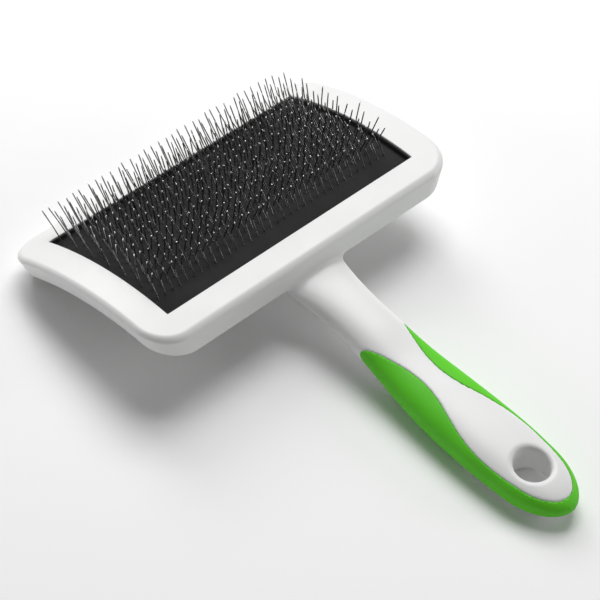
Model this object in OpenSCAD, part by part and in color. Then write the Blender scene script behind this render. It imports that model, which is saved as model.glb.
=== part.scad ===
// Slicker brush: curved rectangular head with a wire-pin pad, neck and two-material handle.
// Millimetres. The brush lies on its back, as it does on a table: +Z is up and the wires
// point up, the long side of the head runs along X and the handle reaches towards -Y.
// The pieces are drawn square to the head and then laid back about X onto the table.

/* [Head] */
// Length of the head, along X
head_w = 122; // [116:1:126]
// Depth of the head, along Y
head_d = 71.4; // [70:0.2:74]
// Thickness of the head, from the rim's face to its back
head_t = 9.2; // [9.2:0.1:11]
// Radius of the arch of the head, crowned towards the wires
arc_r = 114; // [105:1:140]
// Corner radius of the head's outline
corner_r = 11; // [9:0.5:13]
// Rounding of the rim's outer edge
rim_round = 1.8; // [1.4:0.1:3]
// Rounding of the head's back edge
back_round = 2; // [1:0.1:2.4]
// How far the end walls lean in towards the back
end_draft = 3; // [0:0.1:3.2]
// How far the long walls lean in towards the back
side_draft = 0.5; // [0:0.1:1]
// Depth of the seam between the front frame and the back moulding
seam_d = 3.45; // [3.2:0.05:3.8]

/* [Window] */
// Length of the opening in the front frame
window_w = 100; // [97:0.5:102]
// Depth of the opening in the front frame
window_d = 53.5; // [52:0.5:55]
// Thickness of the frame at the opening
frame_t = 1.85; // [1.6:0.05:2]

/* [Pad] */
// Thickness of the black rubber facing
facing_t = 0.8; // [0.6:0.05:0.9]
// Thickness of the woven foundation behind it
cloth_t = 1.2; // [0.9:0.05:1.2]

/* [Wires] */
// Rows of wire staples, from the handle side to the far side
wire_rows = 13; // [11:1:13]
// Staples in one row
row_staples = 17; // [12:1:17]
// Distance between neighbouring wires in a row
wire_pitch = 2.8; // [2.4:0.1:2.8]
// Distance between rows
row_pitch = 3.6; // [3.2:0.1:3.7]
// Distance of the middle row from the middle of the head, away from the handle
field_y = 2.2; // [0:0.1:2.3]
// Thickness of the wire
wire_t = 0.4; // [0.3:0.05:0.45]
// Length of a wire from the pad's face to its knee
lower_len = 5.5; // [4:0.1:6.5]
// Length of a wire from its knee to its point
upper_len = 6.4; // [4:0.1:6.5]
// Lean of the lower length, away from the handle
lower_lean = 30; // [10:1:34]
// Lean of the upper length over the middle of the head, towards the handle
upper_lean = 2; // [0:1:10]
// Degrees the upper lengths fan out for each millimetre from the middle of the head
upper_fan = 0.7; // [0:0.1:0.7]

/* [Handle] */
// Radius of the hanging hole
hole_r = 5.6; // [4.5:0.1:6.2]
// Rounding of the hanging hole's mouths
hole_lip = 1.3; // [0.8:0.1:1.5]
// Distance of the hanging hole from the head's middle
hole_y = 118.3; // [117:0.1:121]
// Width of the groove between the grip and the handle
grip_gap = 0.12; // [0.06:0.02:0.3]

/* [Hidden] */
arc_fn = 240;
wall_t = 2.2;
lip_gap = 0.1;
lip_t = 1.6;
lip_d = 6.7;
floor_t = 2;
crown_gap = 0.02;

hx = head_w / 2;
hy = head_d / 2;
facing_d = frame_t;
edge_d = 0.45;
edge_t = 0.7;
cloth_d = facing_d + facing_t;
cloth_back_d = cloth_d + cloth_t;
crown_d = cloth_back_d + crown_gap + wire_t / 2;
foam_d = crown_d + wire_t / 2 + crown_gap;
floor_d = head_t - floor_t;
pad_x = hx - end_draft - wall_t - lip_t - 4 * lip_gap;
pad_y = hy - side_draft - wall_t - lip_t - 4 * lip_gap;
pad_r = corner_r - wall_t - lip_t;

// Side profile and half width of the handle: [y, underside, top, half width], head square.
// The first stations lie inside the head's floor, so the neck grows out of it.
handle_stations = [
    [-12, -9.4, -8.6, 7.5], [-20, -11.6, -9.9, 9.8], [-28, -15.4, -11.4, 11.0],
    [-35, -19.0, -12.6, 10.6], [-42, -22.4, -14.3, 9.4], [-50, -26.2, -16.8, 8.7],
    [-61, -31.4, -20.9, 8.9], [-72, -36.8, -25.6, 9.8], [-84, -41.6, -29.4, 11.0],
    [-96, -45.2, -32.7, 11.7], [-108, -48.2, -36.0, 11.8], [-118, -50.4, -39.3, 11.3],
    [-124, -51.5, -41.2, 10.6], [-130, -52.4, -43.0, 9.8], [-136, -52.9, -45.0, 9.0]
];
tail_start = -118;
tail_end = -134.2;
handle_power = 2.4;

// Half width of the hard tongue between the two sides of the grip: [y, half width].
tongue_stations = [
    [-56, 11.6], [-60.5, 8.9], [-65, 7.0], [-70, 5.4], [-76, 4.0], [-82, 3.7], [-88, 4.8],
    [-94, 6.8], [-100, 8.6], [-106, 9.6], [-112, 9.7], [-118, 9.2], [-124, 8.2], [-130, 7.1]
];
tongue_tail = -120;
tongue_end = -132.1;

// Height of the arched face at y, below its crown.
function arc_z(y) = sqrt(arc_r * arc_r - y * y) - arc_r;

// Smooth curve through a table of stations, for any column of it, held level past its ends.
function spline(table, at, column) =
    let (
        n = len(table),
        y = max(table[n - 1][0], min(table[0][0], at)),
        k = max(0, min(n - 2, len([for (s = table) if (s[0] >= y) 1]) - 1)),
        p0 = table[max(k - 1, 0)],
        p1 = table[k],
        p2 = table[k + 1],
        p3 = table[min(k + 2, n - 1)],
        h = p2[0] - p1[0],
        t = (y - p1[0]) / h,
        m1 = (p2[column] - p0[column]) / (p2[0] - p0[0]) * h,
        m2 = (p3[column] - p1[column]) / (p3[0] - p1[0]) * h
    )
    (2 * t ^ 3 - 3 * t ^ 2 + 1) * p1[column] + (t ^ 3 - 2 * t ^ 2 + t) * m1
        + (3 * t ^ 2 - 2 * t ^ 3) * p2[column] + (t ^ 3 - t ^ 2) * m2;

// Right-hand half of a rounded rectangle, from its lowest to its highest point.
function half_outline(a, b, r, corner_n = 7, side_n = 12) = concat(
    [for (i = [0:corner_n]) let (q = -90 + 90 * i / corner_n) [a - r + r * cos(q), -b + r + r * sin(q)]],
    [for (i = [1:side_n - 1]) [a, (-1 + 2 * i / side_n) * (b - r)]],
    [for (i = [0:corner_n]) let (q = 90 * i / corner_n) [a - r + r * cos(q), b - r + r * sin(q)]]
);
function mirrored(half) = [for (i = [len(half) - 1:-1:0]) [-half[i].x, half[i].y]];
function outline(a, b, r) = let (half = half_outline(a, b, r)) concat(half, mirrored(half));

// Ring of points at depth d under the arched face, with its own outline.
function ring(a, b, r, d) = [for (p = outline(a, b, r)) [p.x, p.y, arc_z(p.y) - d]];

// Ring on the head's side wall, moved in by inset; the wall leans in with depth.
function wall_ring(inset, d) =
    let (lean = max(0, d - rim_round) / (head_t - rim_round))
    ring(hx - inset - end_draft * lean, hy - inset - side_draft * lean, corner_r - inset, d);

// Triangles that join ring i to ring i + 1, for rings of n points.
function band_faces(i, j, n) = [
    for (k = [0:n - 1])
        let (m = (k + 1) % n)
        each [[i * n + k, j * n + m, i * n + m], [i * n + k, j * n + k, j * n + m]]
];

// Triangles that close a ring whose second half mirrors its first.
function cap_faces(i, n, up) = [
    for (k = [0:n / 2 - 2])
        let (a = i * n + k, b = a + 1, c = i * n + n - 2 - k, d = c + 1)
        each (up ? [[a, c, b], [a, d, c]] : [[a, b, c], [a, c, d]])
];

// Closed solid through rings that run round in a loop.
module ring_loop(rings) {
    n = len(rings[0]);
    count = len(rings);
    polyhedron(
        points = [for (r = rings) each r],
        faces = [for (i = [0:count - 1]) each band_faces(i, (i + 1) % count, n)]
    );
}

// Closed solid through rings, capped at both ends.
module ring_stack(rings) {
    n = len(rings[0]);
    count = len(rings);
    polyhedron(
        points = [for (r = rings) each r],
        faces = concat(
            cap_faces(0, n, false),
            [for (i = [0:count - 2]) each band_faces(i, i + 1, n)],
            cap_faces(count - 1, n, true)
        )
    );
}

// Half width, underside and top of the handle at y, rounded off at the tail.
function tail_scale(y, power) =
    y > tail_start ? 1 : (1 - ((tail_start - y) / (tail_start - tail_end)) ^ 2.4) ^ power;
function handle_half_w(y) = spline(handle_stations, y, 3) * max(0.02, tail_scale(y, 0.5));
function handle_mid(y) = (spline(handle_stations, y, 1) + spline(handle_stations, y, 2)) / 2;
function handle_half_t(y) =
    (spline(handle_stations, y, 2) - spline(handle_stations, y, 1)) / 2 * max(0.02, tail_scale(y, 0.4));
function tongue_half_w(y) =
    let (u = max(0, (tongue_tail - y) / (tongue_tail - tongue_end)))
    spline(tongue_stations, y, 1) * sqrt(max(0.0004, 1 - u ^ 3));

// Height of the handle's upper surface above its middle, at x.
function handle_rise(x, y) =
    let (u = min(1, abs(x) / handle_half_w(y)))
    handle_half_t(y) * (1 - u ^ handle_power) ^ (1 / handle_power);

// Upright section of the handle at y, cut off at half width w.
function handle_ring(y, w, side_n = 10) =
    let (
        reach = min(w, 0.998 * handle_half_w(y)),
        right = [for (i = [0:side_n]) reach * sin(90 * (i + 0.5) / (side_n + 0.5))],
        under = [for (i = [0:side_n]) [right[i], y, handle_mid(y) - handle_rise(right[i], y)]],
        over = [for (i = [side_n:-1:0]) [right[i], y, handle_mid(y) + handle_rise(right[i], y)]],
        half = concat(under, over)
    )
    concat(half, [for (i = [len(half) - 1:-1:0]) [-half[i].x, y, half[i].z]]);

// Stations along the handle, closer together round the tail.
handle_ys = concat(
    [for (y = [-12:-3:-117]) y],
    [for (i = [0:9]) tail_start + (tongue_end + 0.02 - tail_start) * sin(90 * i / 9)]
);
grip_ys = concat(
    [for (y = [-57:-3:-117]) y],
    [for (i = [0:11]) tail_start + (tail_end + 0.02 - tail_start) * sin(90 * i / 11)]
);

// Lean of the head on the table: the line under the tail and the far edge of the back.
tail_feet = [for (y = [-134:0.5:-100]) [y, handle_mid(y) - handle_half_t(y)]];
far_feet = [
    for (q = [0:3:90])
        let (
            y = hy - side_draft - back_round + back_round * sin(q),
            d = head_t - back_round + back_round * cos(q)
        )
        [y, arc_z(y) - d]
];
lay_back = max([
    for (p = tail_feet)
        min([for (q = far_feet) atan2(q[1] - p[1], q[0] - p[0])])
]);
table_z = min([for (q = far_feet) q[1] * cos(lay_back) - q[0] * sin(lay_back)]);

// Middle of the lying brush, between its tail and the far edge of its rim.
tail_y = tail_end * cos(lay_back) + handle_mid(tail_end) * sin(lay_back);
rim_y = hy * cos(lay_back) + (arc_z(hy) - rim_round) * sin(lay_back);
middle_y = (tail_y + rim_y) / 2;

// Position of the hanging hole, on the handle's middle, and its slope.
hole_slope = atan2(handle_mid(-hole_y + 5) - handle_mid(-hole_y - 5), 10);

module on_table() {
    translate([0, -middle_y, -table_z])
        rotate([-lay_back, 0, 0])
            children();
}

module at_hole() {
    translate([0, -hole_y, handle_mid(-hole_y)])
        rotate([hole_slope, 0, 0])
            children();
}

// Layer between two depths under the arched face, with a rounded outline.
module arched_layer(a, b, r, d1, d2) {
    reach = arc_r * 0.5;
    intersection() {
        rotate([90, 0, 90])
            translate([0, 0, -a - 1])
                linear_extrude(2 * a + 2)
                    intersection() {
                        difference() {
                            translate([0, -arc_r - d1])
                                circle(arc_r, $fn = arc_fn);
                            translate([0, -arc_r - d2])
                                circle(arc_r, $fn = arc_fn);
                        }
                        translate([-reach, -reach])
                            square([2 * reach, 2 * reach]);
                    }
        translate([0, 0, -reach])
            linear_extrude(2 * reach)
                polygon(outline(a, b, r));
    }
}

// Wires of one row: x of wire k, and y and lean of the row.
function row_y(i) = field_y + (i - (wire_rows + 1) / 2) * row_pitch;
function row_shift(i) = (i % 2 == 0 ? 0.25 : -0.25) * wire_pitch;
function wire_x(i, k) = (k - row_staples + 0.5) * wire_pitch + row_shift(i);
function row_lean(i) = asin(row_y(i) / arc_r);

// Frame with its origin on the pad's face at one wire, Z along the pad's normal.
module at_wire(i, k) {
    translate([wire_x(i, k), row_y(i), arc_z(row_y(i)) - facing_d])
        rotate([-row_lean(i), 0, 0])
            children();
}

// Side outline of a wire in row i, from the crown behind the foundation to its point.
function wire_path(i) =
    let (
        root = crown_d - facing_d,
        upper = upper_lean - upper_fan * row_y(i),
        bottom = [-root * tan(lower_lean), -root],
        knee = [lower_len * sin(lower_lean), lower_len * cos(lower_lean)],
        tip = knee + upper_len * [-sin(upper), cos(upper)],
        mid = (upper - lower_lean) / 2,
        across = wire_t / 2 / cos((upper + lower_lean) / 2)
    )
    [
        bottom + wire_t / 2 * [-cos(lower_lean), sin(lower_lean)],
        knee + across * [-cos(mid), -sin(mid)],
        tip + wire_t / 2 * [-cos(upper), -sin(upper)],
        tip + wire_t / 3 * [-sin(upper), cos(upper)],
        tip + wire_t / 2 * [cos(upper), sin(upper)],
        knee + across * [cos(mid), sin(mid)],
        bottom + wire_t / 2 * [cos(lower_lean), -sin(lower_lean)]
    ];

// One U-shaped staple: two bent wires joined by a crown behind the foundation.
module staple(i, pair) {
    root = crown_d - facing_d;
    for (k = [2 * pair, 2 * pair + 1])
        at_wire(i, k)
            rotate([90, 0, 90])
                translate([0, 0, -wire_t / 2])
                    linear_extrude(wire_t)
                        polygon(wire_path(i));
    at_wire(i, 2 * pair)
        translate([-0.3 * wire_t, -root * tan(lower_lean) - 0.4 * wire_t, -root - 0.45 * wire_t])
            cube([wire_pitch + 0.6 * wire_t, 0.8 * wire_t, 0.8 * wire_t]);
}

module wire_row(i) {
    color("lightsteelblue")
        on_table()
            for (pair = [0:row_staples - 1])
                staple(i, pair);
}

// Turned-up edge of the rubber, which lines the window's inner wall.
module facing_edge() {
    a = window_w / 2 - lip_gap;
    b = window_d / 2 - lip_gap;
    difference() {
        arched_layer(a, b, 0.3, edge_d, facing_d + facing_t / 2);
        translate([edge_t - a, edge_t - b, -40])
            cube([2 * (a - edge_t), 2 * (b - edge_t), 80]);
    }
}

module rubber_facing() {
    color([0.08, 0.08, 0.08])
        on_table() {
            arched_layer(pad_x, pad_y, pad_r, facing_d, cloth_d);
            facing_edge();
        }
}

module foundation_cloth() {
    color([0.75, 0.72, 0.65])
        on_table()
            arched_layer(pad_x, pad_y, pad_r, cloth_d, cloth_back_d);
}

module foam_cushion() {
    color([0.85, 0.85, 0.6])
        on_table()
            arched_layer(pad_x, pad_y, pad_r, foam_d, floor_d);
}

// Front frame: rim with a rounded outer edge, and a lip that drops inside the back moulding.
module front_frame() {
    lip_inner = wall_t + lip_gap + lip_t;
    rounding = [for (q = [0:15:90]) wall_ring(rim_round * (1 - cos(q)), rim_round * (1 - sin(q)))];
    color("white")
        on_table()
            ring_loop(concat(
                [wall_ring(0, seam_d - lip_gap)],
                rounding,
                [
                    ring(window_w / 2 + 0.4, window_d / 2 + 0.4, 0.5, 0),
                    ring(window_w / 2, window_d / 2, 0.2, 0.4),
                    ring(window_w / 2, window_d / 2, 0.2, frame_t),
                    wall_ring(lip_inner, frame_t),
                    wall_ring(lip_inner, lip_d),
                    wall_ring(wall_t + lip_gap, lip_d),
                    wall_ring(wall_t + lip_gap, seam_d - lip_gap)
                ]
            ));
}

// Tray of the head: walls with a rounded back edge, and a floor that follows the arch.
module head_tray() {
    rounding = [
        for (q = [90:-18:0])
            wall_ring(back_round * (1 - cos(q)), head_t - back_round * (1 - sin(q)))
    ];
    ring_stack(concat(
        [wall_ring(back_round + 4, head_t)],
        rounding,
        [
            wall_ring(0, seam_d),
            wall_ring(wall_t, seam_d),
            wall_ring(wall_t, floor_d),
            wall_ring(wall_t + 3, floor_d)
        ]
    ));
}

module handle_core() {
    ring_stack([for (y = handle_ys) handle_ring(y, tongue_half_w(y))]);
}

module hole_cutter() {
    reach = handle_half_t(-hole_y);
    at_hole() {
        translate([0, 0, -20])
            cylinder(r = hole_r, h = 40, $fn = 64);
        for (side = [0, 180])
            rotate([side, 0, 0])
                translate([0, 0, reach - hole_lip])
                    cylinder(r1 = hole_r, r2 = hole_r + 2 * hole_lip, h = 2 * hole_lip, $fn = 64);
    }
}

// Back moulding: tray, neck and the hard core of the handle, in one piece.
module back_moulding() {
    color("white")
        on_table()
            difference() {
                union() {
                    head_tray();
                    handle_core();
                }
                hole_cutter();
            }
}

// Soft grip: both sides of the handle, joined round the tail.
module grip() {
    cut_ys = concat(
        [for (y = [-50:-1.5:-120]) y],
        [for (i = [1:14]) tongue_tail + (tongue_end - tongue_tail) * sin(90 * i / 14)]
    );
    right = [for (y = cut_ys) [tongue_half_w(y) + grip_gap, y - (y < tongue_tail ? grip_gap : 0)]];
    left = [for (i = [len(right) - 1:-1:0]) [-right[i].x, right[i].y]];
    color("limegreen")
        on_table()
            difference() {
                ring_stack([for (y = grip_ys) handle_ring(y, 40)]);
                translate([0, 0, -80])
                    linear_extrude(80)
                        polygon(concat(right, left));
            }
}

back_moulding();
front_frame();
grip();
rubber_facing();
foundation_cloth();
foam_cushion();
for (i = [1:wire_rows])
    wire_row(i);
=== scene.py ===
import math
import random

import bpy
import numpy as np
from mathutils import Matrix, Vector


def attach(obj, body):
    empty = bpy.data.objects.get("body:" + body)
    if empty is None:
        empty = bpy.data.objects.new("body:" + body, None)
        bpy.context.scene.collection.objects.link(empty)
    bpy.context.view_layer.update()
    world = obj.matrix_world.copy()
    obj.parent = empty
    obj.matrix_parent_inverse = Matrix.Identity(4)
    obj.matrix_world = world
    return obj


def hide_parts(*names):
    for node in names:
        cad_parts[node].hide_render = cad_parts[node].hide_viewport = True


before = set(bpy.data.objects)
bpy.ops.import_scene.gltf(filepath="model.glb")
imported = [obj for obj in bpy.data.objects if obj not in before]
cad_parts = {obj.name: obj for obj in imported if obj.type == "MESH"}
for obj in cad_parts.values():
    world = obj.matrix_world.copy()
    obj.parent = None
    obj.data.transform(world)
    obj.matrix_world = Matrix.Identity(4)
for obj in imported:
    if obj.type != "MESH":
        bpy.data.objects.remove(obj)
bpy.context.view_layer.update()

# ---------------------------------------------------------------- sizes, in millimetres
# Lengths are taken square to the head: X along its long side, Y away from the handle,
# Z the way the wires point, with the crown of the rim's face at the origin.

LAY_BACK = math.radians(13.4553)
TABLE_Z = -21.7516
MIDDLE_Y = -54.4265
ARC_R = 114.0
HEAD_X, HEAD_Y = 61.0, 35.7
HEAD_T = 9.2
CORNER_R = 11.0
RIM_ROUND = 1.8
BACK_ROUND = 2.0
END_DRAFT, SIDE_DRAFT = 3.0, 0.5
SEAM_D = 3.45
SEAM_GAP = 0.1
WINDOW_X, WINDOW_Y = 50.0, 26.75
FRAME_T = 1.85
WALL_T, LIP_T, LIP_D, FLOOR_T = 2.2, 1.6, 6.7, 2.0
PAD_X, PAD_Y, PAD_R = 53.8, 31.0, 7.2
FACING_T, CLOTH_T, EDGE_D = 0.8, 1.2, 0.45
HOLE_Y, HOLE_R, HOLE_SPAN = -118.3, 5.6, 5.0

# the arch is followed this far from its crown, since the handle runs on past its circle
FACE_REACH = 60.0

# the wires: neighbouring rows shift by the stagger, a share of the pitch, each way
WIRE_ROWS, ROW_WIRES = 13, 34
WIRE_PITCH, ROW_PITCH, FIELD_Y, WIRE_T = 2.8, 3.6, 2.2, 0.4
STAGGER = 0.25
CROWN_GAP = 0.02
WIRE_SIDES, CROWN_SIDES = 8, 6

# below and above a wire's knee; leans and splay in degrees, and the fan in degrees for each mm of y;
# the last length before a wire's point is where its painted glint rises to full
LOWER_LEN, UPPER_LEN = 5.5, 6.4
LOWER_LEAN, UPPER_LEAN, UPPER_FAN = 30.0, 2.0, 0.7
KNEE_BEND, TIP_GLINT_LEN, SPLAY = 0.9, 0.7, 12.0

# how brightly each ring of a wire is painted as a glint, from its crown past its knee to its point: a
# faint painted glint at the knee, a full painted highlight at the point and its rounded end
RING_GLINT = [0, 0, 0, 0.15, 0.35, 0.15, 0, 0, 0, 1, 1, 1]

# [y, underside, top, half width] of the handle
HANDLE = np.array([
    [-12, -9.4, -8.6, 7.5], [-20, -11.6, -9.9, 9.8], [-28, -15.4, -11.4, 11.0],
    [-35, -19.0, -12.6, 10.6], [-42, -22.4, -14.3, 9.4], [-50, -26.2, -16.8, 8.7],
    [-61, -31.4, -20.9, 8.9], [-72, -36.8, -25.6, 9.8], [-84, -41.6, -29.4, 11.0],
    [-96, -45.2, -32.7, 11.7], [-108, -48.2, -36.0, 11.8], [-118, -50.4, -39.3, 11.3],
    [-124, -51.5, -41.2, 10.6], [-130, -52.4, -43.0, 9.8], [-136, -52.9, -45.0, 9.0],
])
HANDLE_START, TAIL_START, TAIL_END = -12.0, -118.0, -134.2
HANDLE_POWER, TAIL_POWER = 2.4, 2.4

# [y, half width] of the hard tongue between the two sides of the grip
TONGUE = np.array([
    [-56, 11.6], [-60.5, 8.9], [-65, 7.0], [-70, 5.4], [-76, 4.0], [-82, 3.7], [-88, 4.8],
    [-94, 6.8], [-100, 8.6], [-106, 9.6], [-112, 9.7], [-118, 9.2], [-124, 8.2], [-130, 7.1],
])
TONGUE_TAIL, TONGUE_END = -120.0, -132.1

# the handle and its tongue end at this share of their width, and never at nothing
LEAST_SCALE = 0.02

# softness of the moulded edges and joins, and the gaps at them
SEAM_STEP = 0.04
EDGE_SOFT = 0.25
GRIP_GAP = 0.1
LIP_GAP = 0.1
NECK_BLEND = 2.6
HOLE_LIP = 1.9

# the camera, square to the head as well
CAMERA_PLACE = (-379.21, -473.49, 429.49)
CAMERA_RIGHT = (0.7163, -0.6928, -0.0833)
CAMERA_AHEAD = (0.5096, 0.6009, -0.6159)
CAMERA_LENS, CAMERA_SENSOR = 148.27, 36.0


def laid(points):
    """Points square to the head, in millimetres, to metres in the row's frame."""
    p = np.asarray(points, float)
    c, s = math.cos(LAY_BACK), math.sin(LAY_BACK)
    y = p[:, 1] * c + p[:, 2] * s - MIDDLE_Y
    z = -p[:, 1] * s + p[:, 2] * c - TABLE_Z
    return np.stack([p[:, 0], y, z], axis=1) / 1000


def arc_z(y):
    """Height of the arched face at y."""
    return np.sqrt(ARC_R**2 - y * y) - ARC_R


# ---------------------------------------------------------------- shape functions
def table_curve(table, column):
    """Smooth curve through a table of stations, held level past its ends."""
    t = table[::-1]
    ys, vs = t[:, 0], t[:, column]
    slope = np.empty(len(ys))
    slope[1:-1] = (vs[2:] - vs[:-2]) / (ys[2:] - ys[:-2])
    slope[0] = (vs[1] - vs[0]) / (ys[1] - ys[0])
    slope[-1] = (vs[-1] - vs[-2]) / (ys[-1] - ys[-2])

    def curve(at):
        y = np.clip(at, ys[0], ys[-1])
        k = np.clip(np.searchsorted(ys, y, side="right") - 1, 0, len(ys) - 2)
        h = ys[k + 1] - ys[k]
        u = (y - ys[k]) / h
        return (
            (2 * u**3 - 3 * u**2 + 1) * vs[k]
            + (u**3 - 2 * u**2 + u) * h * slope[k]
            + (3 * u**2 - 2 * u**3) * vs[k + 1]
            + (u**3 - u**2) * h * slope[k + 1]
        )

    return curve


def tail_scale(y, power):
    """How much of its full size the handle has at y, as the tail rounds off."""
    u = np.clip((TAIL_START - y) / (TAIL_START - TAIL_END), 0, 1)
    return np.maximum(LEAST_SCALE, (1 - u**TAIL_POWER) ** power)


def tongue_scale(y):
    """How much of its full width the tongue has at y, as its end rounds off."""
    u = np.clip((TONGUE_TAIL - y) / (TONGUE_TAIL - TONGUE_END), 0, 1)
    return np.sqrt(np.maximum(LEAST_SCALE**2, 1 - u**3))


# the handle's sizes at close stations, where the distances look them up
STATION_Y = np.arange(-140.0, 0.0, 0.1)
UNDER = table_curve(HANDLE, 1)(STATION_Y)
OVER = table_curve(HANDLE, 2)(STATION_Y)
MID = (UNDER + OVER) / 2
HALF_T = (OVER - UNDER) / 2 * tail_scale(STATION_Y, power=0.4)
HALF_W = table_curve(HANDLE, 3)(STATION_Y) * tail_scale(STATION_Y, power=0.5)
TONGUE_W = table_curve(TONGUE, 1)(STATION_Y) * tongue_scale(STATION_Y)
MID_SLOPE, HALF_T_SLOPE, HALF_W_SLOPE, TONGUE_SLOPE = (
    np.gradient(v, STATION_Y) for v in (MID, HALF_T, HALF_W, TONGUE_W)
)


def at(values, y):
    """A value sampled along the handle, at y."""
    return np.interp(y, STATION_Y, values)


def blend_max(a, b, k):
    """Larger of two distances, with the corner between them rounded."""
    h = np.clip(0.5 - 0.5 * (b - a) / k, 0, 1)
    return b + (a - b) * h + k * h * (1 - h)


def blend_min(a, b, k):
    """Smaller of two distances, with the corner between them rounded."""
    return -blend_max(-a, -b, k)


def handle_field(x, y, z):
    """Distance, near enough, from the handle's whole surface."""
    a, b, m = at(HALF_W, y), at(HALF_T, y), at(MID, y)
    u, v = np.abs(x) / a, np.abs(z - m) / b
    n = HANDLE_POWER
    f = np.maximum((u**n + v**n) ** (1 / n), 1e-3)
    scale = f ** (1 - n)
    fx = scale * u ** (n - 1) / a
    fz = scale * v ** (n - 1) / b
    fy = -scale * (
        u**n * at(HALF_W_SLOPE, y) / a
        + v**n * at(HALF_T_SLOPE, y) / b
        + v ** (n - 1) * np.sign(z - m) * at(MID_SLOPE, y) / b
    )
    d = (f - 1) / np.sqrt(fx * fx + fy * fy + fz * fz)
    return np.maximum(np.maximum(d, TAIL_END - y), y - HANDLE_START)


def tongue_field(x, y):
    """Distance in plan from the edge of the hard tongue, negative inside it."""
    d = (np.abs(x) - at(TONGUE_W, y)) / np.sqrt(1 + at(TONGUE_SLOPE, y) ** 2)
    return np.maximum(d, TONGUE_END - y)


def wall_field(x, y, z, inset):
    """Distance from the head's side wall, moved in by inset, and the depth under the face."""
    depth = arc_z(np.clip(y, -FACE_REACH, FACE_REACH)) - z
    lean = np.clip((depth - RIM_ROUND) / (HEAD_T - RIM_ROUND), 0, 1.2)
    qx = np.abs(x) + END_DRAFT * lean - (HEAD_X - CORNER_R)
    qy = np.abs(y) + SIDE_DRAFT * lean - (HEAD_Y - CORNER_R)
    outside = np.hypot(np.maximum(qx, 0), np.maximum(qy, 0))
    return outside + np.minimum(np.maximum(qx, qy), 0) - CORNER_R + inset, depth


HOLE_Z = float(at(MID, HOLE_Y))
HOLE_RISE = float(at(MID, HOLE_Y + HOLE_SPAN) - at(MID, HOLE_Y - HOLE_SPAN))
HOLE_SLOPE = math.atan2(HOLE_RISE, 2 * HOLE_SPAN)


def hole_field(x, y, z):
    """Distance from the wall of the hanging hole, square to the handle there."""
    across = (y - HOLE_Y) * math.cos(HOLE_SLOPE) + (z - HOLE_Z) * math.sin(HOLE_SLOPE)
    return np.hypot(x, across) - HOLE_R


def back_field(x, y, z):
    """Back moulding: tray, neck and hard core, with the neck flowing into the tray."""
    wall, depth = wall_field(x, y, z, SEAM_STEP)
    a, b = wall + BACK_ROUND, depth - HEAD_T + BACK_ROUND
    tray = np.minimum(np.maximum(a, b), 0) + np.hypot(np.maximum(a, 0), np.maximum(b, 0)) - BACK_ROUND
    core = blend_max(handle_field(x, y, z), tongue_field(x, y), EDGE_SOFT)
    solid = blend_min(tray, core, NECK_BLEND)
    cavity = np.maximum(wall + WALL_T, depth - HEAD_T + FLOOR_T)
    solid = np.maximum(solid, -cavity)
    solid = np.maximum(solid, RIM_ROUND - depth)
    return blend_max(solid, -hole_field(x, y, z), HOLE_LIP)


def grip_field(x, y, z):
    """Soft grip: the handle outside the tongue, from the waist to the tail."""
    return blend_max(handle_field(x, y, z), GRIP_GAP - tongue_field(x, y), EDGE_SOFT)


# ---------------------------------------------------------------- mesh builders
def corner_block(array, shift):
    """Values at one corner of every cell of a grid."""
    return array[tuple(slice(d, d + n - 1) for d, n in zip(shift, array.shape))]


def cell_points(value):
    """Cells that the surface crosses, and in each the mean of the crossings on its edges."""
    inside = value < 0
    cells = tuple(n - 1 for n in value.shape)
    total = np.zeros(cells + (3,), np.float32)
    count = np.zeros(cells, np.int16)
    for axis in range(3):
        others = [k for k in range(3) if k != axis]
        for corner in ((0, 0), (0, 1), (1, 0), (1, 1)):
            a = [0, 0, 0]
            a[others[0]], a[others[1]] = corner
            b = list(a)
            b[axis] = 1
            va, vb = corner_block(value, a), corner_block(value, b)
            hit = corner_block(inside, a) != corner_block(inside, b)
            t = np.where(hit, va / np.where(hit, va - vb, 1), 0)
            count += hit
            for dim in range(3):
                total[..., dim] += hit * (t if dim == axis else a[dim])
    used = count > 0
    return used, np.argwhere(used) + total[used] / count[used][:, None]


def net_quads(inside, used):
    """A quad round each grid edge that the surface crosses, facing outwards."""
    number = np.full(used.shape, -1, np.int64)
    number[used] = np.arange(used.sum())
    quads = []
    for axis in range(3):
        j, k = (axis + 1) % 3, (axis + 2) % 3
        a = [slice(1, -1)] * 3
        a[axis] = slice(0, -1)
        b = list(a)
        b[axis] = slice(1, None)
        change = inside[tuple(a)] != inside[tuple(b)]
        outward = inside[tuple(a)][change]
        where = np.argwhere(change)
        where[:, j] += 1
        where[:, k] += 1
        ring = []
        for dj, dk in ((-1, -1), (0, -1), (0, 0), (-1, 0)):
            cell = where.copy()
            cell[:, j] += dj
            cell[:, k] += dk
            ring.append(number[cell[:, 0], cell[:, 1], cell[:, 2]])
        ring = np.stack(ring, axis=1)
        ring[~outward] = ring[~outward][:, ::-1]
        quads.append(ring)
    return np.concatenate(quads)


def settle(points, field, reach, probe=0.02, passes=4, least_square=0.05):
    """Points moved along the field's slope onto its surface, no further than reach."""
    start = points.copy()
    for _ in range(passes):
        x, y, z = points.T
        f = field(x, y, z)
        slope = np.stack([
            field(x + probe, y, z) - field(x - probe, y, z),
            field(x, y + probe, z) - field(x, y - probe, z),
            field(x, y, z + probe) - field(x, y, z - probe),
        ], axis=1) / (2 * probe)
        square = np.maximum((slope * slope).sum(1), least_square)
        points = points - slope * (f / square)[:, None]
        points = start + np.clip(points - start, -reach, reach)
    return points


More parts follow.
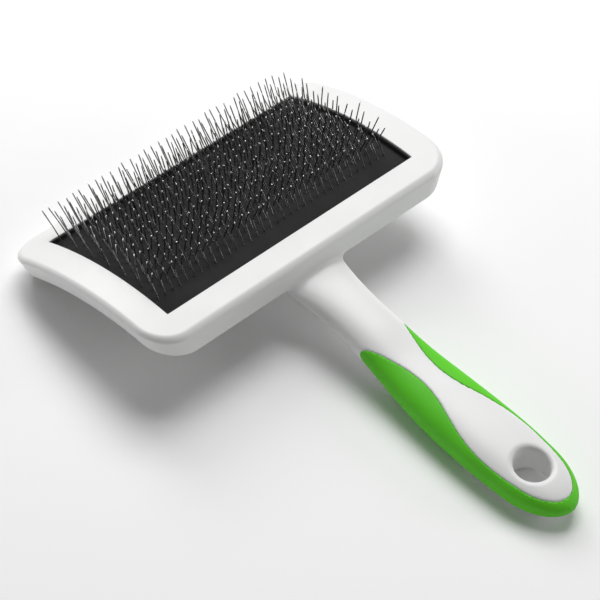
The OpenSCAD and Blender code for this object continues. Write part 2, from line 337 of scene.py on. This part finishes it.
def surface_net(field, low, high, step):
    """Points and quads of the surface where field is zero, inside a box."""
    axes = [np.arange(a, b + s, s) for a, b, s in zip(low, high, step)]
    gx, gy, gz = np.meshgrid(*axes, indexing="ij")
    value = np.empty(gx.shape, np.float32)
    slab = 16
    for i in range(0, len(axes[0]), slab):
        part = slice(i, i + slab)
        value[part] = field(gx[part], gy[part], gz[part])
    used, index = cell_points(value)
    points = np.array(low, float) + index * np.array(step)
    return settle(points, field, 0.5 * max(step)), net_quads(value < 0, used)


def rounded_outline(a, b, r, corner_n=24, side_n=48):
    """Loop of points round a rectangle with round corners, anticlockwise."""
    q = np.radians(np.linspace(-90, 0, corner_n + 1))
    low = np.stack([a - r + r * np.cos(q), -b + r + r * np.sin(q)], axis=1)
    s = np.linspace(-1, 1, side_n + 1)[1:-1]
    side = np.stack([np.full(len(s), a), s * (b - r)], axis=1)
    high = (low * (1, -1))[::-1]
    half = np.concatenate([low, side, high])
    return np.concatenate([half, (half * (-1, 1))[::-1]])


def face_ring(a, b, r, depth):
    """Ring at a depth under the arched face."""
    p = rounded_outline(a, b, r)
    return np.column_stack([p, arc_z(p[:, 1]) - depth])


def wall_ring(inset, depth):
    """Ring round the head's side wall, which leans in towards the back."""
    lean = max(0.0, depth - RIM_ROUND) / (HEAD_T - RIM_ROUND)
    return face_ring(
        HEAD_X - inset - END_DRAFT * lean, HEAD_Y - inset - SIDE_DRAFT * lean, CORNER_R - inset, depth
    )


def quarter(count):
    """Angles of a quarter turn, as sine and cosine pairs."""
    return [(math.sin(q), math.cos(q)) for q in np.radians(np.linspace(0, 90, count))]


def loop_faces(count, n):
    """Quads through count rings of n points that run round in a loop."""
    faces = []
    for i in range(count):
        j = (i + 1) % count
        for k in range(n):
            m = (k + 1) % n
            faces.append((i * n + k, i * n + m, j * n + m, j * n + k))
    return faces


def stack_faces(count, n):
    """Quads through count rings of n points, and strips that close both ends."""
    faces = loop_faces(count, n)[: (count - 1) * n]
    last = (count - 1) * n
    for k in range(n // 2 - 1):
        a, b, c, d = k, k + 1, n - 2 - k, n - 1 - k
        faces.append((a, d, c, b))
        faces.append((last + a, last + b, last + c, last + d))
    return faces


def join_meshes(parts):
    """Several pairs of points and faces as one."""
    points, faces, start = [], [], 0
    for part_points, part_faces in parts:
        points.append(part_points)
        faces += [tuple(start + v for v in face) for face in part_faces]
        start += len(part_points)
    return np.concatenate(points), faces


def add_piece(name, points, faces, material, nodes, sharp=None):
    """Object for a piece, in the row's frame, that stands for the CAD nodes named."""
    mesh = bpy.data.meshes.new(name)
    mesh.from_pydata(laid(points).tolist(), [], [tuple(int(v) for v in f) for f in faces])
    mesh.validate()
    mesh.polygons.foreach_set("use_smooth", [True] * len(mesh.polygons))
    if sharp is not None:
        mesh.set_sharp_from_angle(angle=math.radians(sharp))
    mesh.materials.append(material)
    obj = bpy.data.objects.new(name, mesh)
    bpy.context.scene.collection.objects.link(obj)
    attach(obj, "root")
    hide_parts(*nodes)
    return obj


# ---------------------------------------------------------------- materials
def new_material(name):
    """Material with its node tree and its shader."""
    mat = bpy.data.materials.new(name)
    mat.use_nodes = True
    tree = mat.node_tree
    return mat, tree, tree.nodes["Principled BSDF"]


def add_noise(tree, scale, detail):
    """Noise that stays fixed to the object."""
    node = tree.nodes.new("ShaderNodeTexNoise")
    node.inputs["Scale"].default_value = scale
    node.inputs["Detail"].default_value = detail
    place = tree.nodes.new("ShaderNodeTexCoord").outputs["Object"]
    tree.links.new(place, node.inputs["Vector"])
    return node.outputs["Fac"]


def add_mottle(tree, scale, detail, first, second, spread=0.2):
    """Noise that goes from one colour to another, over spread on each side of its middle."""
    node = tree.nodes.new("ShaderNodeValToRGB")
    ends = node.color_ramp.elements
    ends[0].position = 0.5 - spread
    ends[1].position = 0.5 + spread
    ends[0].color = (*first, 1)
    ends[1].color = (*second, 1)
    tree.links.new(add_noise(tree, scale, detail), node.inputs["Fac"])
    return node.outputs["Color"]


def add_bump(tree, shader, scale, detail, strength, distance):
    """Fine relief from noise."""
    node = tree.nodes.new("ShaderNodeBump")
    node.inputs["Strength"].default_value = strength
    node.inputs["Distance"].default_value = distance
    tree.links.new(add_noise(tree, scale, detail), node.inputs["Height"])
    tree.links.new(node.outputs["Normal"], shader.inputs["Normal"])


def grey(v):
    return (v, v, v)


def white_plastic():
    """Satin moulded plastic, with a faint grain."""
    mat, tree, shader = new_material("white_plastic")
    tone = add_mottle(tree, 18, 3, (0.79, 0.79, 0.785), (0.83, 0.83, 0.825))
    tree.links.new(tone, shader.inputs["Base Color"])
    tree.links.new(add_mottle(tree, 60, 4, grey(0.36), grey(0.46)), shader.inputs["Roughness"])
    add_bump(tree, shader, 2600, 2, 0.12, 0.00004)
    return mat


def green_rubber():
    """Soft-touch elastomer, nearly matt."""
    mat, tree, shader = new_material("green_rubber")
    tone = add_mottle(tree, 40, 3, (0.092, 0.56, 0.01), (0.112, 0.62, 0.014))
    tree.links.new(tone, shader.inputs["Base Color"])
    tree.links.new(add_mottle(tree, 300, 4, grey(0.54), grey(0.66)), shader.inputs["Roughness"])
    shader.inputs["Specular IOR Level"].default_value = 0.35
    add_bump(tree, shader, 3500, 2, 0.25, 0.00005)
    return mat


def black_rubber():
    """Matt facing of the pad."""
    mat, tree, shader = new_material("black_rubber")
    tree.links.new(add_mottle(tree, 120, 5, grey(0.013), grey(0.021)), shader.inputs["Base Color"])
    shader.inputs["Roughness"].default_value = 0.75
    shader.inputs["Specular IOR Level"].default_value = 0.2
    add_bump(tree, shader, 1600, 3, 0.4, 0.0001)
    return mat


def woven_cloth():
    """Undyed foundation cloth."""
    mat, tree, shader = new_material("woven_cloth")
    tone = add_mottle(tree, 900, 3, (0.35, 0.32, 0.26), (0.55, 0.52, 0.44))
    tree.links.new(tone, shader.inputs["Base Color"])
    shader.inputs["Roughness"].default_value = 0.9
    return mat


def foam():
    """Pale foam of the cushion."""
    mat, tree, shader = new_material("foam")
    tone = add_mottle(tree, 1400, 3, (0.5, 0.48, 0.35), (0.72, 0.7, 0.55))
    tree.links.new(tone, shader.inputs["Base Color"])
    shader.inputs["Roughness"].default_value = 0.95
    return mat


def steel_wire():
    """Drawn steel, darker on its length, with painted glints: its colour goes to near white where the
    point attribute is high, at the knees and points.
    """
    mat, tree, shader = new_material("steel_wire")
    shader.inputs["Metallic"].default_value = 1.0
    glint = tree.nodes.new("ShaderNodeAttribute")
    glint.attribute_name = "point"
    blend = tree.nodes.new("ShaderNodeMix")
    blend.data_type = "RGBA"
    factor, drawn, bright = blend.inputs[0], blend.inputs[6], blend.inputs[7]
    # near-white colour painted on as glints at the knees and points
    bright.default_value = (0.95, 0.95, 0.95, 1)
    tree.links.new(glint.outputs["Fac"], factor)
    tree.links.new(add_mottle(tree, 260, 3, grey(0.13), grey(0.45), spread=0.15), drawn)
    tree.links.new(blend.outputs[2], shader.inputs["Base Color"])
    tree.links.new(add_mottle(tree, 900, 2, grey(0.18), grey(0.3)), shader.inputs["Roughness"])
    return mat


# ---------------------------------------------------------------- pieces
def make_back(material):
    """Tray, neck and hard core of the handle in one moulding."""
    step = ((0.6, 0.6, 0.5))
    points, faces = surface_net(back_field, (-63, -135, -54), (63, 38, 0), step)
    return add_piece("back_shell", points, faces, material, ["back_moulding"])


def make_grip(material):
    """Soft sides of the handle, which meet round its tail."""
    step = ((0.35, 0.35, 0.35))
    points, faces = surface_net(grip_field, (-13, -136, -54), (13, -58, -20), step)
    return add_piece("grip_cover", points, faces, material, ["grip"])


def make_frame(material):
    """Rim with softened edges round the window, and the lip that drops inside the tray."""
    seam_edge, window_edge, window_r = 0.18, 0.35, 0.15
    seam = SEAM_D - SEAM_GAP
    lip_out, lip_in = WALL_T + LIP_GAP, WALL_T + LIP_GAP + LIP_T
    rings = [wall_ring(seam_edge, seam)]
    for sine, cosine in quarter(4):
        rings.append(wall_ring(seam_edge * (1 - sine), seam - seam_edge * (1 - cosine)))
    for sine, cosine in quarter(15):
        rings.append(wall_ring(RIM_ROUND * (1 - cosine), RIM_ROUND * (1 - sine)))
    for sine, cosine in quarter(6):
        out, down = window_edge * (1 - sine), window_edge * (1 - cosine)
        rings.append(face_ring(WINDOW_X + out, WINDOW_Y + out, window_r + out, down))
    rings.append(face_ring(WINDOW_X, WINDOW_Y, window_r, FRAME_T))
    for inset, depth in ((lip_in, FRAME_T), (lip_in, LIP_D), (lip_out, LIP_D), (lip_out, seam)):
        rings.append(wall_ring(inset, depth))
    obj = add_piece(
        "rim_frame", np.concatenate(rings), loop_faces(len(rings), len(rings[0])), material,
        ["front_frame"], sharp=50,
    )
    weighted = obj.modifiers.new("weighted", "WEIGHTED_NORMAL")
    weighted.keep_sharp = True
    return obj


def slab_rings(d1, d2, soft):
    """Rings round a pad layer from depth d1 to d2, with its edges softened."""
    front = [(soft * (1 - sine), d1 + soft * (1 - cosine)) for sine, cosine in quarter(4)]
    back = [(away, d1 + d2 - depth) for away, depth in reversed(front)]
    return [face_ring(PAD_X - away, PAD_Y - away, PAD_R, depth) for away, depth in front + back]


def make_layer(name, d1, d2, soft, material, node):
    """One layer of the pad, that fills the inside of the tray."""
    rings = slab_rings(d1, d2, soft)
    points, faces = np.concatenate(rings), stack_faces(len(rings), len(rings[0]))
    return add_piece(name, points, faces, material, [node], sharp=60)


def make_facing(material):
    """Rubber sheet with its edge turned up against the window's inner wall."""
    sheet = slab_rings(FRAME_T, FRAME_T + FACING_T, 0.2)
    # inset from the window and depth, up the wall, over the edge and down to the sheet
    profile = [
        (0.1, FRAME_T + 0.3), (0.1, EDGE_D + 0.2), (0.16, EDGE_D + 0.05), (0.3, EDGE_D),
        (0.5, EDGE_D + 0.05), (0.65, EDGE_D + 0.25), (0.75, FRAME_T - 0.3),
        (0.95, FRAME_T - 0.06), (1.3, FRAME_T - 0.01), (1.3, FRAME_T + 0.3),
    ]
    edge = [face_ring(WINDOW_X - inset, WINDOW_Y - inset, 0.3, depth) for inset, depth in profile]
    n = len(edge[0])
    points, faces = join_meshes([
        (np.concatenate(sheet), stack_faces(len(sheet), n)),
        (np.concatenate(edge), loop_faces(len(edge), n)),
    ])
    return add_piece("pad_facing", points, faces, material, ["rubber_facing"], sharp=50)


def make_pad():
    """The layers of the pad: facing, cloth and foam."""
    make_facing(black_rubber())
    cloth_d = FRAME_T + FACING_T
    cloth_back = cloth_d + CLOTH_T
    foam_d = cloth_back + 2 * CROWN_GAP + WIRE_T
    base = make_layer(
        "pad_cloth", cloth_d, cloth_back, 0.2, woven_cloth(), "foundation_cloth"
    )
    cushion = make_layer("pad_foam", foam_d, HEAD_T - FLOOR_T, 0.4, foam(), "foam_cushion")


def wire_path(lower, upper, lower_lean, upper_lean, splay, root):
    """One wire, standing on the pad: [across, along, out] from its crown to its point."""
    lo, up = math.radians(lower_lean), math.radians(upper_lean)
    foot = np.array([0, -root * math.tan(lo), -root])
    low = np.array([0, math.sin(lo), math.cos(lo)])
    high = np.array([math.tan(math.radians(splay)), math.sin(up), math.cos(up)])
    high /= np.linalg.norm(high)
    knee = lower * low
    a, b = knee - KNEE_BEND * low, knee + KNEE_BEND * high
    t = np.linspace(0, 1, 7)[:, None]
    bend = (1 - t) ** 2 * a + 2 * t * (1 - t) * knee + t**2 * b
    tip = knee + upper * high
    return np.concatenate([[foot], bend, [tip - TIP_GLINT_LEN * high, tip]])


def tube(path, radius, sides):
    """Points and faces of a round bar along a path, with a rounded far end."""
    way = np.gradient(path, axis=0)
    way /= np.linalg.norm(way, axis=1)[:, None]
    # two smaller rings round the end off
    end = path[-1] + np.outer([0.5, 0.8], way[-1] * radius)
    path = np.concatenate([path, end])
    way = np.concatenate([way, way[-1:], way[-1:]])
    radii = [radius] * (len(path) - 2) + [radius * 0.8, radius * 0.4]
    q = np.linspace(0, 2 * math.pi, sides, endpoint=False)[:, None]
    side = np.array([1.0, 0.0, 0.0])
    rings = []
    for centre, axis, r in zip(path, way, radii):
        u = side - axis * (side @ axis)
        u /= np.linalg.norm(u)
        v = np.cross(axis, u)
        rings.append(centre + r * (np.cos(q) * u + np.sin(q) * v))
    count = len(rings)
    faces = loop_faces(count, sides)[: (count - 1) * sides]
    faces.append(tuple(range(sides - 1, -1, -1)))
    faces.append(tuple(range((count - 1) * sides, count * sides)))
    return np.concatenate(rings), faces


def lay_on_pad(path, x, y, twist):
    """A wire's path moved to x and y on the arched pad, square to it, and twisted a little."""
    lean = math.asin(y / ARC_R)
    across = path[:, 0] + path[:, 1] * math.sin(twist)
    along = path[:, 1] * math.cos(twist)
    return np.column_stack([
        x + across,
        y + along * math.cos(lean) + path[:, 2] * math.sin(lean),
        arc_z(y) - FRAME_T - along * math.sin(lean) + path[:, 2] * math.cos(lean),
    ])


def make_wire_row(i, material, rng):
    """Row i of staples: pairs of wires, and the crowns that join them behind the cloth."""
    root = FACING_T + CLOTH_T + CROWN_GAP + WIRE_T / 2
    y = FIELD_Y + (i - (WIRE_ROWS + 1) / 2) * ROW_PITCH
    shift = (STAGGER if i % 2 == 0 else -STAGGER) * WIRE_PITCH
    wires, crowns, feet = [], [], []
    # each wire differs a little in its lengths, leans and twist
    for k in range(ROW_WIRES):
        x = (k - ROW_WIRES / 2 + 0.5) * WIRE_PITCH + shift
        path = wire_path(
            LOWER_LEN * rng.uniform(0.96, 1.04),
            UPPER_LEN * rng.uniform(0.92, 1.04),
            LOWER_LEAN + rng.gauss(0, 2),
            UPPER_FAN * y - UPPER_LEAN + rng.gauss(0, 3),
            SPLAY * (x / WINDOW_X) ** 3 + rng.gauss(0, 3),
            root,
        )
        placed = lay_on_pad(path, x, y, math.radians(rng.gauss(0, 4)))
        feet.append(placed[0])
        wires.append(tube(placed, WIRE_T / 2, WIRE_SIDES))
    for first, second in zip(feet[::2], feet[1::2]):
        bar = np.stack([first, (first + second) / 2, second])
        crowns.append(tube(bar, WIRE_T / 2.2, CROWN_SIDES))
    points, faces = join_meshes(wires + crowns)
    obj = add_piece(
        f"wires_{i}", points, faces, material, [f"wire_row_{i}"], sharp=70
    )
    # painted glints: each wire's rings get their share from the table above, the crowns none
    glint = np.zeros(len(points))
    glint[: ROW_WIRES * len(wires[0][0])] = np.tile(np.repeat(RING_GLINT, WIRE_SIDES), ROW_WIRES)
    obj.data.attributes.new("point", "FLOAT", "POINT").data.foreach_set("value", glint)


# ---------------------------------------------------------------- stage
def make_stage():
    """A wide, plain, pale floor."""
    reach = 4
    corners = [(-reach, -reach, 0), (reach, -reach, 0), (reach, reach, 0), (-reach, reach, 0)]
    floor = bpy.data.meshes.new("floor")
    floor.from_pydata(corners, [], [(0, 1, 2, 3)])
    mat, _, shader = new_material("floor")
    shader.inputs["Base Color"].default_value = (0.97, 0.97, 0.97, 1)
    shader.inputs["Roughness"].default_value = 0.9
    floor.materials.append(mat)
    obj = bpy.data.objects.new("floor", floor)
    bpy.context.scene.collection.objects.link(obj)


def make_camera():
    """Camera where the photo was taken from."""
    data = bpy.data.cameras.new("camera")
    data.sensor_width = CAMERA_SENSOR
    data.lens = CAMERA_LENS
    data.clip_start, data.clip_end = 0.05, 20
    cam = bpy.data.objects.new("camera", data)
    bpy.context.scene.collection.objects.link(cam)
    right = Vector(CAMERA_RIGHT).normalized()
    back = -Vector(CAMERA_AHEAD).normalized()
    up = back.cross(right).normalized()
    right = up.cross(back)
    pose = Matrix((right, up, back)).transposed().to_4x4()
    pose.translation = Vector(CAMERA_PLACE) / 1000
    drop = Matrix.Translation((0, -MIDDLE_Y / 1000, -TABLE_Z / 1000))
    cam.matrix_world = drop @ Matrix.Rotation(-LAY_BACK, 4, "X") @ pose
    bpy.context.scene.camera = cam


def add_light(name, place, aim, size, power):
    """Square area light, in metres and watts."""
    data = bpy.data.lights.new(name, "AREA")
    data.size = size
    data.energy = power
    obj = bpy.data.objects.new(name, data)
    obj.location = place
    obj.rotation_euler = (Vector(aim) - Vector(place)).to_track_quat("-Z", "Y").to_euler()
    bpy.context.scene.collection.objects.link(obj)


def make_lights():
    """Soft light from above and behind, with fills from the left and the front."""
    add_light("key", (0.5, 0.45, 1.05), (0, 0.03, 0), 0.8, 11.3)
    add_light("back", (0.4, 1.1, 0.75), (0, 0, 0), 0.55, 6.0)
    add_light("left", (-1.2, 0.9, 0.35), (-0.04, 0.05, 0.02), 0.4, 2.4)
    add_light("front", (1.1, -0.9, 0.45), (0, 0, 0.01), 0.5, 4.2)
    world = bpy.data.worlds.new("studio")
    bpy.context.scene.world = world
    world.use_nodes = True
    background = world.node_tree.nodes["Background"]
    background.inputs["Color"].default_value = (1, 1, 1, 1)
    background.inputs["Strength"].default_value = 0.15


# ---------------------------------------------------------------- the brush on its floor
white = white_plastic()
make_back(white)
make_frame(white)
make_grip(green_rubber())
make_pad()
steel = steel_wire()
rng = random.Random(11)
for row in range(1, WIRE_ROWS + 1):
    make_wire_row(row, steel, rng)
make_stage()
make_lights()
make_camera()
bpy.context.scene.view_settings.view_transform = "Standard"

bpy.context.view_layer.update()
